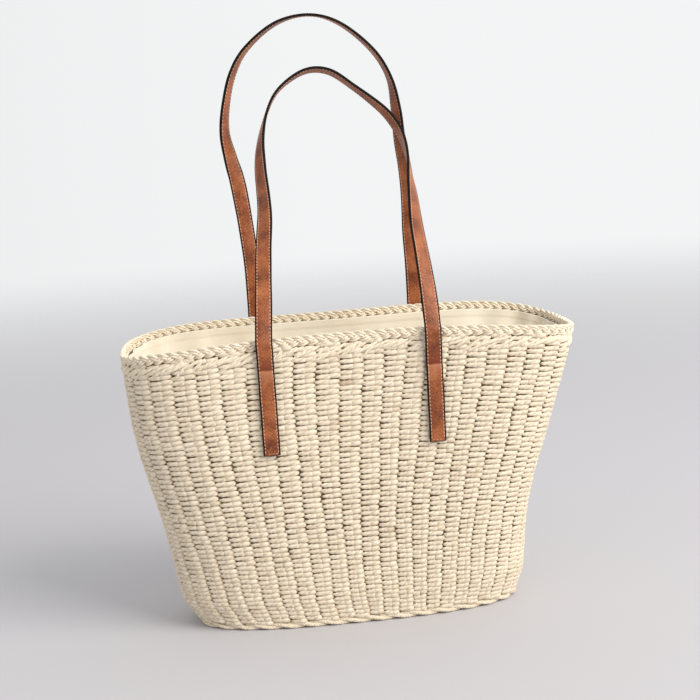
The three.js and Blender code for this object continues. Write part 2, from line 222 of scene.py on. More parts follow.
def smooth(rows, place):
    """Values of a table at places between its rows, on the cubic curve through its rows whose slope
    at each row is half the step from the row before to the row after."""
    rows = np.asarray(rows, float)
    last = len(rows) - 1
    k = np.clip(np.floor(place).astype(int), 0, last - 1)
    t = place - k
    p0, p1, p2, p3 = (rows[np.clip(k + step, 0, last)] for step in (-1, 0, 1, 2))
    if rows.ndim > 1:
        t = t[..., None]
    slope1, slope2 = (p2 - p0) / 2, (p3 - p1) / 2
    a = 2 * p1 - 2 * p2 + slope1 + slope2
    b = -3 * p1 + 3 * p2 - 2 * slope1 - slope2
    return ((a * t + b) * t + slope1) * t + p1


def plan(up):
    """Half width to the left, half width to the right, half depth, squareness and pinch at heights."""
    place = np.interp(up, SECTION_UP, np.arange(len(SECTION_UP)))
    share = [smooth(column, place) for column in (SECTION_LEFT, SECTION_RIGHT, SECTION_DEPTH)]
    sides = [(BASE_WIDTH + (MOUTH_WIDTH - BASE_WIDTH) * s) / 2 for s in share[:2]]
    depth = (BASE_DEPTH + (MOUTH_DEPTH - BASE_DEPTH) * share[2]) / 2
    held = np.clip(up, 0, 1)
    return *sides, depth, BASE_SQUARENESS + (MOUTH_SQUARENESS - BASE_SQUARENESS) * held, MOUTH_PINCH * held


def rim_height(u, y):
    """Height of the rim: level in the middle and drooping towards the two ends, as droop |u|^power,
    early along the front and late along the back."""
    droop = np.where(u < 0, LEFT_DROOP, RIGHT_DROOP)
    return HEIGHT - droop * np.abs(u) ** np.where(y > 0, BACK_DROOP_POWER, FRONT_DROOP_POWER)


GRID_LEVELS, GRID_AROUND, GRID_TOP = 141, 1200, 1.04


def wall_grid():
    """Points of the wall on an even grid of heights and shares of the way round, from the right end
    over the back. x is half width times u and y half depth times (1 + pinch u squared) times v, where
    (u, v) runs round |u|^n + |v|^n = 1, and each level is then spaced evenly along its length."""
    angle = np.linspace(0, TURN, 1441)
    c, s = np.cos(angle), np.sin(angle)
    ups = np.linspace(0, GRID_TOP, GRID_LEVELS)
    grid = np.zeros((GRID_LEVELS, GRID_AROUND + 1, 3))
    for row, up in enumerate(ups):
        left, right_side, depth, square, pinch = (float(v) for v in plan(np.array(up)))
        u = np.sign(c) * np.abs(c) ** (2 / square)
        x = np.where(c < 0, left, right_side) * u
        y = depth * (1 + pinch * u * u) * np.sign(s) * np.abs(s) ** (2 / square)
        run = np.concatenate([[0], np.cumsum(np.hypot(np.diff(x), np.diff(y)))])
        goal = np.linspace(0, run[-1], GRID_AROUND + 1)
        grid[row, :, 0] = np.interp(goal, run, x)
        grid[row, :, 1] = np.interp(goal, run, y)
        grid[row, :, 2] = up * rim_height(np.interp(goal, run, u), grid[row, :, 1])
    return grid


WALL_GRID = wall_grid()
round_step = np.roll(WALL_GRID[:, :-1], -1, 1) - np.roll(WALL_GRID[:, :-1], 1, 1)
up_step = np.gradient(WALL_GRID[:, :-1], axis=0)
normals = np.cross(round_step, up_step)
normals /= np.linalg.norm(normals, axis=-1, keepdims=True)
WALL_NORMALS = np.concatenate([normals, normals[:, :1]], 1)


def on_wall(around, up, out=0.0):
    """Points at a share of the way round, a share of the way up and a distance out from the wall,
    by blending the four nearest points and normals of the grid."""
    around, up, out = np.broadcast_arrays(np.asarray(around, float) % 1.0, up, out)
    col = around * GRID_AROUND
    row = np.clip(up / GRID_TOP, 0, 1) * (GRID_LEVELS - 1)
    c, r = np.floor(col).astype(int) % GRID_AROUND, np.minimum(np.floor(row).astype(int), GRID_LEVELS - 2)
    a, b = (col - np.floor(col))[..., None], (row - r)[..., None]
    found = []
    for table in (WALL_GRID, WALL_NORMALS):
        low = table[r, c] * (1 - a) + table[r, c + 1] * a
        high = table[r + 1, c] * (1 - a) + table[r + 1, c + 1] * a
        found.append(low * (1 - b) + high * b)
    return found[0] + found[1] * out[..., None]


MOUTH_LEVEL = int((GRID_LEVELS - 1) / GRID_TOP)
girth = [np.linalg.norm(np.diff(WALL_GRID[row], axis=0), axis=1).sum() for row in (0, MOUTH_LEVEL)]
print("girth at foot and mouth:", [round(1000 * g) for g in girth], "mm")

# %% [markdown]
# Straw first, because most of the bag is made of it. Paper straw is pale and matt with a faint
# shine, no two cords have quite the same tone, and its fibres run along the cord in fine streaks.
# The tone comes from a number stored on each cord, the streaks from noise stretched along the UV
# map, and the twist of the plies from slanting stripes on the same map. The stripes are bumps whose
# grooves are darkened as painted shade, and the stored number also carries painted shade where a
# cord dives behind its neighbour.

# %% Material helpers
def new_material(name):
    material = bpy.data.materials.new(name)
    material.use_nodes = True
    nodes = material.node_tree.nodes
    return material, nodes, material.node_tree.links, nodes["Principled BSDF"]


def add(nodes, kind, **values):
    """A node with its settings, and its inputs by name where a setting starts with 'in_'."""
    node = nodes.new(kind)
    for key, value in values.items():
        if key.startswith("in_"):
            node.inputs[key[3:].replace("_", " ")].default_value = value
        else:
            setattr(node, key, value)
    return node


def maths(nodes, links, operation, first, second=0.0, third=0.0):
    """A Math node fed with sockets or numbers."""
    node = nodes.new("ShaderNodeMath")
    node.operation = operation
    for socket, value in zip(node.inputs, (first, second, third)):
        if isinstance(value, bpy.types.NodeSocket):
            links.new(value, socket)
        else:
            socket.default_value = value
    return node.outputs[0]


def ramp(nodes, links, factor, stops):
    """A colour ramp with (place, colour) stops."""
    node = nodes.new("ShaderNodeValToRGB")
    elements = node.color_ramp.elements
    while len(elements) < len(stops):
        elements.new(0.5)
    for element, (place, colour) in zip(elements, stops):
        element.position = place
        element.color = (*colour, 1)
    links.new(factor, node.inputs[0])
    return node.outputs[0]


def mixed(nodes, links, factor, first, second, blend="MIX"):
    """A colour mix of two sockets or colours."""
    node = nodes.new("ShaderNodeMix")
    node.data_type = "RGBA"
    node.blend_type = blend
    for socket, value in zip((node.inputs[0], node.inputs[6], node.inputs[7]), (factor, first, second)):
        if isinstance(value, bpy.types.NodeSocket):
            links.new(value, socket)
        else:
            socket.default_value = value if isinstance(value, float) else (*value, 1)
    return node.outputs[2]


def mapped(nodes, links, value, from_range, to_range, **settings):
    """A value carried from one range to another."""
    node = add(nodes, "ShaderNodeMapRange", **settings)
    links.new(value, node.inputs["Value"])
    for key, number in zip(("From Min", "From Max", "To Min", "To Max"), (*from_range, *to_range)):
        node.inputs[key].default_value = number
    return node.outputs["Result"]


def object_noise(nodes, links, scale, detail, kind="ShaderNodeTexNoise"):
    """A texture over the piece's own coordinates, as its first output."""
    place = add(nodes, "ShaderNodeTexCoord")
    texture = add(nodes, kind, in_Scale=scale, in_Detail=detail)
    links.new(place.outputs["Object"], texture.inputs["Vector"])
    return texture.outputs[0]


def bumped(nodes, links, shader, height, strength, distance):
    """A height fed through a Bump node into the shader's normal."""
    bump = add(nodes, "ShaderNodeBump", in_Strength=strength, in_Distance=distance)
    links.new(height, bump.inputs["Height"])
    links.new(bump.outputs[0], shader.inputs["Normal"])


def mottled_material(name, stops, scale, roughness, strength, distance):
    """One noise over the piece that gives the colour, by a ramp with stops, and a slight bump."""
    material, nodes, links, shader = new_material(name)
    noise = object_noise(nodes, links, scale, 2.0)
    links.new(ramp(nodes, links, noise, stops), shader.inputs["Base Color"])
    shader.inputs["Roughness"].default_value = roughness
    bumped(nodes, links, shader, noise, strength, distance)
    return material


STRAW = {"dark": (0.49, 0.355, 0.235), "mid": (0.73, 0.62, 0.465), "light": (0.86, 0.765, 0.61)}
PALE_STRAW = {"dark": (0.60, 0.44, 0.29), "mid": (0.83, 0.71, 0.53), "light": (0.92, 0.83, 0.68)}
PLIES = 2
# Red, green and blue of the painted shade in the groove between two plies, as shares of its lightness
GROOVE_SHADE_TINT = np.array([1.0, 0.93, 0.86])


def straw_material(name, lay, tones, groove, relief):
    """Twisted straw: lay is the distance along the cord between one ply and the next, and groove how
    light the painted shade on the line between them is. The stripe is sin(2 pi (plies v - u / lay))."""
    material, nodes, links, shader = new_material(name)
    coordinates = add(nodes, "ShaderNodeUVMap")
    parts = add(nodes, "ShaderNodeSeparateXYZ")
    links.new(coordinates.outputs[0], parts.inputs[0])
    tone = add(nodes, "ShaderNodeAttribute", attribute_name="tone").outputs["Fac"]
    along, round_it = parts.outputs[0], parts.outputs[1]
    phase = maths(nodes, links, "SUBTRACT", maths(nodes, links, "MULTIPLY", round_it, float(PLIES)),
                  maths(nodes, links, "DIVIDE", along, lay))
    stripe = maths(nodes, links, "SINE", maths(nodes, links, "MULTIPLY", phase, TURN))
    height = maths(nodes, links, "POWER", maths(nodes, links, "MULTIPLY_ADD", stripe, 0.5, 0.5), 0.6)
    joined = add(nodes, "ShaderNodeCombineXYZ")
    links.new(maths(nodes, links, "MULTIPLY", along, 150.0), joined.inputs[0])
    links.new(maths(nodes, links, "MULTIPLY", phase, 9.0), joined.inputs[1])
    links.new(maths(nodes, links, "MULTIPLY", tone, 37.0), joined.inputs[2])
    streak = add(nodes, "ShaderNodeTexNoise", in_Scale=1.0, in_Detail=3.0)
    links.new(joined.outputs[0], streak.inputs["Vector"])
    spread = maths(nodes, links, "MULTIPLY_ADD", streak.outputs[0], 0.6, -0.3)
    factor = maths(nodes, links, "ADD", tone, spread)
    colour = ramp(nodes, links, factor, ((0.0, tones["dark"]), (0.35, tones["mid"]), (0.95, tones["light"])))
    # Painted shade: the straw is darkened along the grooves between the plies
    shade = ramp(nodes, links, height, ((0.0, groove * GROOVE_SHADE_TINT), (0.45, (1.0, 1.0, 1.0))))
    links.new(mixed(nodes, links, 1.0, colour, shade, "MULTIPLY"), shader.inputs["Base Color"])
    shader.inputs["Roughness"].default_value = 0.55
    shader.inputs["Specular IOR Level"].default_value = 0.35
    fibres = maths(nodes, links, "MULTIPLY", streak.outputs[0], 0.5)
    bumped(nodes, links, shader, maths(nodes, links, "ADD", height, fibres), relief, 0.6 * MM)
    return material


weave_straw = straw_material("weave_straw", 12.0 * MM, STRAW, groove=0.8, relief=0.5)
plait_straw = straw_material("plait_straw", 9.0 * MM, PALE_STRAW, groove=0.82, relief=0.6)
rope_straw = straw_material("rope_straw", 7.0 * MM, PALE_STRAW, groove=0.86, relief=0.6)
print("straw materials:", [m.name for m in bpy.data.materials if "straw" in m.name])

# %% [markdown]
# The weave is twining: two cords cross between the stakes again and again, and what shows is a field
# of short bulging lengths, each diving behind the next. Every column of the field has one stake. It
# shows a short length with two knobs and then one long bulge, and the rows of each column lie half a
# row above those of the column before it, so that every long bulge dives into the small dark hole
# between two rows of the next column. A bean here is one such length: a table gives how far its
# middle line stands out, how plump it is and its painted shade, darker where it dives behind its
# neighbour and a little lighter on its crest. All beans of some rows are one array.

# %% The twined wall
RIB_COUNT = 52
RIB_WARP, RIB_WARP_START = 0.1, 0.63
ROW_COUNT = 55
FIRST_ROW_UP, LAST_ROW_UP = 0.022, 0.968
ROW_WARP, ROW_GROWTH = 0.045, 0.09
ROW_ARCH = 5 * MM
ROW_PITCH = (LAST_ROW_UP - FIRST_ROW_UP) * HEIGHT / ROW_COUNT
BEAN_SIDES = 7
BEAN_DEPTH_SHARE = 0.62
BEAN_FALL = 0.06
# Sways of the columns: size in columns, turn in radians for each row, and waves round the bag
SWAYS = ((0.035, 0.11, 14), (0.02, 0.29, -9))
# How far luck moves a bean round, out (mm), its slant out (mm), up (rows), its height and its tone
LUCK = {"around": 0.03, "out": 0.13, "slant": 0.1, "up": 0.04, "high": 0.05, "tone": 0.11}
# For each bean: where it starts and ends in a column's width, and rows of (share of its length,
# middle line's distance out in millimetres, half height in row pitches, painted shade added to its
# tone: negative darkens it where it dives, positive lightens its crest)
SHORT_BEAN = {
    "start": -0.12,
    "end": 0.6,
    "rows": (
        (0.0, -2.2, 0.2, -0.2),
        (0.13, -1.2, 0.31, -0.06),
        (0.26, -0.85, 0.38, -0.01),
        (0.4, -0.7, 0.5, 0.02),
        (0.58, -0.95, 0.46, -0.04),
        (0.76, -0.7, 0.53, 0.02),
        (0.92, -0.95, 0.47, -0.02),
        (1.0, -1.9, 0.3, -0.1),
    ),
}
LONG_BEAN = {
    "start": 0.36,
    "end": 1.02,
    "rows": (
        (0.0, -2.0, 0.24, -0.1),
        (0.14, -1.15, 0.42, -0.03),
        (0.3, -0.65, 0.53, 0.02),
        (0.55, -0.4, 0.56, 0.05),
        (0.78, -0.8, 0.52, 0.0),
        (0.9, -1.4, 0.42, -0.08),
        (0.96, -2.0, 0.32, -0.2),
        (1.0, -2.9, 0.15, -0.4),
    ),
}


def column_place(place):
    """Share of the way round at a number of columns: k / N + w sin(4 pi (k / N - start)) / (4 pi), so
    that the columns are wider at the left of the front and narrower at the right."""
    share = place / RIB_COUNT
    return share + RIB_WARP * np.sin(2 * TURN * (share - RIB_WARP_START)) / (2 * TURN)


def row_place(row, around):
    """Share of the way up at a number of rows: s - g s (1 - s) - w sin(2 pi s) / (2 pi) between the
    first and the last row, with the rows at mid height arched up over the front."""
    share = row / ROW_COUNT
    even = share - ROW_GROWTH * share * (1 - share) - ROW_WARP * np.sin(TURN * share) / TURN
    arch = ROW_ARCH / HEIGHT * np.cos(TURN * (around - 0.75)) * np.sin(math.pi * share) ** 2
    return FIRST_ROW_UP + (LAST_ROW_UP - FIRST_ROW_UP) * even + arch


def bean_rows(rows):
    """Rings, poles, lengths and tones of every bean in some rows. Odd columns lie half a row up, and
    the columns sway a little. The section is an ellipse, as deep as 0.62 of its height."""
    rings, starts, ends, along, tones = [], [], [], [], []
    row, rib = np.meshgrid(rows, np.arange(RIB_COUNT), indexing="ij")
    row, rib = row.ravel()[:, None], rib.ravel()[:, None]
    angle = (np.arange(BEAN_SIDES) + 0.5) / BEAN_SIDES * TURN
    for bean in (SHORT_BEAN, LONG_BEAN):
        wander = luck.normal(0, 1, (7, len(row), 1))
        t, out, plump, shade = (np.array(column) for column in zip(*bean["rows"]))
        x = bean["start"] + (bean["end"] - bean["start"]) * t
        place = rib + x
        sway = sum(
            size * np.sin(turn * row + TURN * waves / RIB_COUNT * place) for size, turn, waves in SWAYS)
        around = column_place(place + sway + LUCK["around"] * wander[0])
        out = (out + LUCK["out"] * wander[1] + LUCK["slant"] * wander[5] * (t - 0.5)) * MM
        level = row + 0.25 + 0.5 * (rib % 2) - BEAN_FALL * (t - 0.5) + LUCK["up"] * wander[2]
        up = row_place(level, around)
        high = plump * ROW_PITCH * (1 + LUCK["high"] * wander[3])
        middle = np.s_[:, 1:-1, None]
        rings.append(on_wall(
            around[middle],
            up[middle] + high[middle] / HEIGHT * np.sin(angle),
            out[middle] + high[middle] * BEAN_DEPTH_SHARE * np.cos(angle),
        ))
        starts.append(on_wall(around[:, 0], up[:, 0], out[:, 0]))
        ends.append(on_wall(around[:, -1], up[:, -1], out[:, -1]))
        along.append(x / RIB_COUNT * girth[1] + 0.02 * wander[4])
        # The tone is the bean's random tone plus its painted shade and highlight
        tones.append(np.clip(0.6 + LUCK["tone"] * wander[6] + shade, 0, 1))
    return tuple(np.concatenate(part) for part in (rings, starts, ends, along, tones))


BANDS = ("weave_lower", "weave_middle", "weave_upper")
for name, rows in zip(BANDS, np.array_split(np.arange(ROW_COUNT), len(BANDS))):
    rings, starts, ends, along, tone = bean_rows(rows)
    weave = cords_mesh(name, rings, starts, ends, along, weave_straw, tone)

# %% [markdown]
# Behind the cords a closed shell stands for the stakes and the inner side of the weave, so that the
# holes look into shade and not through the bag. Its dark brown is painted shade, far darker than the
# straw itself. It is the same wall surface, set back behind the cords, with a flat floor.

# %% Stakes and floor
GROUND_OUT = -2.7 * MM
GROUND_COLUMNS = 4 * RIB_COUNT
FOOT_INSET = 5.3 * MM
UNDERSIDE = 2.6 * MM
# Painted shade: dark browns for the straw seen in the holes, much darker than the straw itself
STRAW_PAINTED_SHADE_TONES = ((0.3, (0.13, 0.075, 0.04)), (0.7, (0.30, 0.19, 0.11)))
straw_painted_shade = mottled_material("straw_painted_shade", STRAW_PAINTED_SHADE_TONES, 260.0, 0.8, 0.5, 0.6 * MM)


def foot_ring(z, inset):
    """One ring of the tucked-in foot: the base outline set in, at a fixed height."""
    around = np.arange(GROUND_COLUMNS) / GROUND_COLUMNS
    ring = on_wall(around, 0.0, -inset)
    ring[:, 2] = z
    return ring


def ground_shell():
    """The outer face from the foot to under the plait, the inner face down again, and the floor."""
    around = np.arange(GROUND_COLUMNS) / GROUND_COLUMNS
    outer = [on_wall(around, up, GROUND_OUT) for up in np.linspace(0.03, 0.968, 26)]
    inner = [on_wall(around, up, -WALL) for up in np.linspace(0.968, 0.05, 16)]
    rings = [foot_ring(UNDERSIDE, FOOT_INSET), foot_ring(7.0 * MM, FOOT_INSET), *outer, *inner]
    rings += [foot_ring(7.3 * MM, FOOT_INSET + WALL), foot_ring(FLOOR, FOOT_INSET + WALL)]
    return capped_stack(rings, (0, 0, UNDERSIDE), (0, 0, FLOOR))


points, faces = ground_shell()
ground = mesh_piece("stakes_and_floor", points, faces, [straw_painted_shade])
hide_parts("basket_body")

# %% [markdown]
# Under the floor, flat cords run along the bag. Each rises and falls over the stakes that cross it,
# and the next one does so half a wave later. They end under the foot rope.

# %% Cords under the floor
FLOOR_CORD_PITCH = 4.4 * MM
FLOOR_CORD_HALF_WIDTH, FLOOR_CORD_HALF_HEIGHT = 2.3 * MM, 1.4 * MM
FLOOR_CORD_Z, FLOOR_CORD_WAVE = 2.3 * MM, 0.45 * MM
FLOOR_CORD_WAVE_LENGTH = 16 * MM
FLOOR_CORD_STEPS = 96
FLOOR_CORD_SIDES = 8


def floor_cords():
    """Cords from one side of the base outline to the other, with z = m + w cos(2 pi x / l + pi k)."""
    outline = foot_ring(0.0, FOOT_INSET)
    after = np.roll(outline, -1, axis=0)
    rows = np.arange(outline[:, 1].min() + FLOOR_CORD_PITCH, outline[:, 1].max(), FLOOR_CORD_PITCH)
    ends = []
    for y in rows:
        crossing = (outline[:, 1] - y) * (after[:, 1] - y) < 0
        ends.append((outline[crossing, 0].min(), outline[crossing, 0].max()))
    low, high = np.array(ends).T[..., None]
    t = np.linspace(0, 1, FLOOR_CORD_STEPS + 2)
    x = low + (high - low) * t
    phase = TURN * x / FLOOR_CORD_WAVE_LENGTH + math.pi * np.arange(len(rows))[:, None]
    z = FLOOR_CORD_Z + FLOOR_CORD_WAVE * np.cos(phase)
    line = np.stack([x, np.broadcast_to(rows[:, None], x.shape), z], -1)
    angle = (np.arange(FLOOR_CORD_SIDES) + 0.5) / FLOOR_CORD_SIDES * TURN
    ring = np.stack([
        0 * angle, FLOOR_CORD_HALF_WIDTH * np.cos(angle), FLOOR_CORD_HALF_HEIGHT * np.sin(angle)], -1)
    rings, tone = line[:, 1:-1, None] + ring, np.full(x.shape, 0.55)
    return cords_mesh("floor_cords", rings, line[:, 0], line[:, -1], x - low, weave_straw, tone)


underside = floor_cords()
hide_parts("basket_body")

# %% [markdown]
# Below the plait the stakes are bent over to the right and laid as slanting cords, before they go
# into the plait. Each is a short closed cord whose path slants over the wall, with both ends bent
# inwards.

# %% Bent stake ends
STAKE_CORDS = 150
STAKE_LOW_UP, STAKE_HIGH_UP = 0.926, 0.963
STAKE_LEAN = 1.2 / RIB_COUNT
STAKE_RADIUS = 1.65 * MM
STAKE_RINGS = np.linspace(0.05, 0.95, 9)
STAKE_SIDES = 7


def stake_ends():
    """Path: up goes from low to high as t^1.15, around by lean t, and out by a low arch,
    -2.2 mm + 2.4 mm sin(pi t)^0.5."""
    number = np.arange(STAKE_CORDS)[:, None]
    t = np.concatenate([[0], STAKE_RINGS, [1]])[None].repeat(STAKE_CORDS, 0)
    wander = luck.normal(0, 1, (4, STAKE_CORDS, 1))
    lean = STAKE_LEAN * (1 + 0.14 * wander[3])
    around = number / STAKE_CORDS + lean * t + 0.0012 * wander[0]
    low = STAKE_LOW_UP + 0.009 * wander[1]
    up = low + (STAKE_HIGH_UP - low) * t ** 1.15
    out = -2.2 * MM + (2.4 * MM + 0.35 * MM * wander[2]) * np.sin(math.pi * t) ** 0.5
    angle = (np.arange(STAKE_SIDES) + 0.5) / STAKE_SIDES * TURN
    slant = math.atan2((STAKE_HIGH_UP - STAKE_LOW_UP) * HEIGHT, STAKE_LEAN * girth[1])
    thin = 0.6 + 0.4 * np.sin(math.pi * t) ** 0.5
    middle = np.s_[:, 1:-1, None]
    reach = STAKE_RADIUS * thin[middle] * (1 + 0.06 * wander[3][..., None])
    rings = on_wall(
        around[middle] - reach * np.sin(angle) * math.sin(slant) / girth[1],
        up[middle] + reach * np.sin(angle) * math.cos(slant) / HEIGHT,
        out[middle] + reach * np.cos(angle),
    )
    length = t * 38 * MM + 0.02 * wander[0]
    # Random tone of each cord, darkened towards both ends as painted shade where they bend in
    tone = np.clip(0.62 + 0.1 * luck.normal(0, 1, (STAKE_CORDS, 1)) - 0.2 * (1 - thin), 0.1, 1)
    starts, ends = (on_wall(around[:, k], up[:, k], out[:, k]) for k in (0, -1))
    return rings, starts, ends, length, tone


rings, starts, ends, along, tone = stake_ends()
stakes = cords_mesh("bent_stake_ends", rings, starts, ends, along, plait_straw, tone)

# %% [markdown]
# The plait stands on the rim as a flat ribbon of three strands, each a pair of cords. One strand
# swings up and down as A sin(t) and crosses over and under as -B sin(2t), and the three are a third
# of a turn apart. Seen from outside and from inside, the crossings make arrowheads that point right.

# %% Plaited rim
PLAIT_TURNS = 38
PLAIT_SWING = 2.9 * MM
PLAIT_CROSS = 1.9 * MM
PLAIT_CORD = 1.25 * MM
PLAIT_PAIR = 1.1 * MM
PLAIT_STEPS = 20 * PLAIT_TURNS
PLAIT_SIDES = 7
PLAIT_MIDDLE_UP = 1 - 5.2 * MM / HEIGHT
PLAIT_OUT = -1.3 * MM


def closed_tubes(name, centre, sideways, outward, radius, lay_length, material, tone):
    """Closed loops of tube in one mesh. centre is (loops, steps, 3), with unit sideways and outward
    vectors across the run, and the UV map holds the length along and the share of the way round."""
    loops, steps, _ = centre.shape
    sides = PLAIT_SIDES
    angle = np.arange(sides) / sides * TURN
    radius = np.broadcast_to(radius, (loops, steps))[..., None, None]
    rings = centre[:, :, None] + radius * (
        outward[:, :, None] * np.cos(angle)[:, None] + sideways[:, :, None] * np.sin(angle)[:, None])
    side = quads_of_grid(steps, sides, wrap_rows=True, wrap_columns=True)
    faces = (np.arange(loops)[:, None, None] * steps * sides + side).reshape(-1, 4)
    corner_uv = uv_of_grid(steps, sides, np.arange(steps + 1) / steps * lay_length,
                           np.arange(sides + 1) / sides, True, True)
    uvs = np.tile(corner_uv, (loops, 1, 1))
    return mesh_piece(name, rings.reshape(-1, 3), [faces], [material], [uvs], np.repeat(tone, sides))


def across_frames(centre, out_hint):
    """Unit vectors sideways and outward, square to the run of each closed loop."""
    run = np.roll(centre, -1, 1) - np.roll(centre, 1, 1)
    run /= np.linalg.norm(run, axis=-1, keepdims=True)
    sideways = np.cross(out_hint, run)
    sideways /= np.linalg.norm(sideways, axis=-1, keepdims=True)
    return -sideways, -np.cross(run, sideways)


def plait():
    """Six loops: three strands of two cords, each cord set off from its strand's middle line along
    the normal to the strand's slant."""
    t = np.arange(PLAIT_STEPS) / PLAIT_STEPS
    phase = TURN * (t * PLAIT_TURNS + np.repeat([0, 1 / 3, 2 / 3], 2)[:, None])
    pair = np.tile([-1.0, 1.0], 3)[:, None]
    swing_slope = PLAIT_SWING * PLAIT_TURNS * TURN / girth[1] * np.cos(phase)
    lean = np.arctan(swing_slope)
    swing = PLAIT_SWING * np.sin(phase) + pair * PLAIT_PAIR * np.cos(lean)
    slide = -pair * PLAIT_PAIR * np.sin(lean) / girth[1]
    cross = -PLAIT_CROSS * np.sin(2 * phase)
    around, up = t + slide, PLAIT_MIDDLE_UP + swing / HEIGHT
    centre = on_wall(around, up, PLAIT_OUT + cross)
    hint = on_wall(around, up, 1.0) - on_wall(around, up, 0.0)
    sideways, outward = across_frames(centre, hint)
    wobble = 1 + 0.05 * np.sin(TURN * t * 53 + np.arange(6)[:, None])
    tone = 0.58 + 0.14 * np.sin(TURN * t * 41 + 2.1 * np.arange(6)[:, None])
    tone = np.clip(tone + 0.1 * luck.normal(0, 1, (6, 1)), 0.1, 1)
    return closed_tubes("rim_plait", centre, sideways, outward, PLAIT_CORD * wobble,
                        girth[1] * 1.15, plait_straw, tone.ravel())


rim = plait()
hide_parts("rim_braid")

# %% [markdown]
# The foot is a rope of two thick strands, each laid from three thin cords. A strand is a helix
# round the rope's middle, and a cord a finer helix round its strand, so the whole rope is two nested
# circles carried along the outline of the base.

# %% Rope foot
ROPE_MIDDLE_Z = 3.75 * MM
ROPE_INSET = 2.0 * MM
ROPE_TURNS = 17
STRAND_REACH = 1.45 * MM
CORD_REACH = 1.15 * MM
CORD_TURNS = 95
CORD_RADIUS = 1.2 * MM
ROPE_STEPS = 800


def rope_foot():
    """centre = base line + reach (cos, sin) of the strand's turn + reach (cos, sin) of the cord's."""
    t = np.arange(ROPE_STEPS) / ROPE_STEPS
    strand = TURN * (-ROPE_TURNS * t + np.repeat([0, 0.5], 3)[:, None])
    cord = TURN * (-CORD_TURNS * t + np.tile([0, 1 / 3, 2 / 3], 2)[:, None])
    out = STRAND_REACH * np.cos(strand) + CORD_REACH * np.cos(cord)
    rise = STRAND_REACH * np.sin(strand) + CORD_REACH * np.sin(cord)
    line = on_wall(t, 0.0, 0.0)[None].repeat(6, 0)
    hint = on_wall(t, 0.0, 1.0)[None].repeat(6, 0) - line
    hint[..., 2] = 0
    hint /= np.linalg.norm(hint, axis=-1, keepdims=True)
    centre = line + hint * (out - ROPE_INSET)[..., None]
    centre[..., 2] = np.maximum(ROPE_MIDDLE_Z + rise, CORD_RADIUS + 0.1 * MM)
    sideways, outward = across_frames(centre, hint)
    tone = np.clip(0.6 + 0.12 * luck.normal(0, 1, (6, 1)) + 0 * t, 0.1, 1)
    return closed_tubes("foot_rope", centre, sideways, outward, CORD_RADIUS,
                        girth[0] * 1.1, rope_straw, tone.ravel())


rope = rope_foot()
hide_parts("base_border")

# %% [markdown]
# The lining is a thin cotton bag sewn in just under the plait. It is cut a little fuller than the
# basket, so it bunches into soft upright folds at both ends of the mouth and hangs smooth along the
# back. It is the wall surface once more, set in by the folds, which fade towards the hem and floor.

# %% Cotton lining
FOLDS = (
    {"around": 0.03, "spread": 0.009, "depth": 0.9},
    {"around": 0.06, "spread": 0.007, "depth": 1.0},
    {"around": 0.088, "spread": 0.008, "depth": 0.8},
    {"around": 0.125, "spread": 0.012, "depth": 0.6},
    {"around": 0.2, "spread": 0.016, "depth": 0.25},
    {"around": 0.33, "spread": 0.014, "depth": 0.5},
    {"around": 0.385, "spread": 0.01, "depth": 0.8},
    {"around": 0.42, "spread": 0.008, "depth": 1.0},
    {"around": 0.447, "spread": 0.007, "depth": 0.9},
    {"around": 0.475, "spread": 0.008, "depth": 0.8},
    {"around": 0.54, "spread": 0.014, "depth": 0.6},
    {"around": 0.62, "spread": 0.016, "depth": 0.45},
    {"around": 0.87, "spread": 0.016, "depth": 0.5},
    {"around": 0.96, "spread": 0.014, "depth": 0.7},
)
FOLD_DEPTH = 9 * MM
HEM_GATHER = 0.4
HEM_FOLD, HEM_LOW = 0.5 * MM, 0.022
LINING_COLUMNS = 360
HEM_UP = 0.971
LINING_SET_IN = WALL + 0.9 * MM
CLOTH = 0.9 * MM
LINING_FLOOR = FLOOR + 0.5 * MM
LINING_UPS = np.concatenate([np.linspace(HEM_UP, HEM_UP - 0.044, 12), np.linspace(HEM_UP - 0.06, 0.045, 42)])
# Rings over the floor: height, and how far each is shrunk towards the middle
LINING_FLOOR_RINGS = ((8 * MM, 0.0), (FLOOR + 0.6 * MM, 0.02), (LINING_FLOOR, 0.2), (LINING_FLOOR, 0.6))


def lining_material():
    """Matt cotton: slow stains of a warmer tone, and a very fine noise as bump."""
    material, nodes, links, shader = new_material("cotton_cloth")
    slow = object_noise(nodes, links, 14.0, 3.0)
    colour = ramp(nodes, links, slow, ((0.35, (0.79, 0.70, 0.545)), (0.7, (0.87, 0.805, 0.67))))
    links.new(colour, shader.inputs["Base Color"])
    shader.inputs["Roughness"].default_value = 0.9
    shader.inputs["Sheen Weight"].default_value = 0.2
    bumped(nodes, links, shader, object_noise(nodes, links, 1600.0, 1.0), 0.25, 0.2 * MM)
    return material


def fold_depth(around):
    """Sum of the folds, each a bell curve round its place, held to the full depth."""
    total = np.zeros_like(around)
    for fold in FOLDS:
        away = (around - fold["around"] + 0.5) % 1 - 0.5
        total += fold["depth"] * np.exp(-0.5 * (away / fold["spread"]) ** 2)
    return FOLD_DEPTH * np.minimum(total, 1)


def ease(value, low, high):
    """0 below low, 1 above high and a smooth S between."""
    t = np.clip((value - low) / (high - low), 0, 1)
    return t * t * (3 - 2 * t)


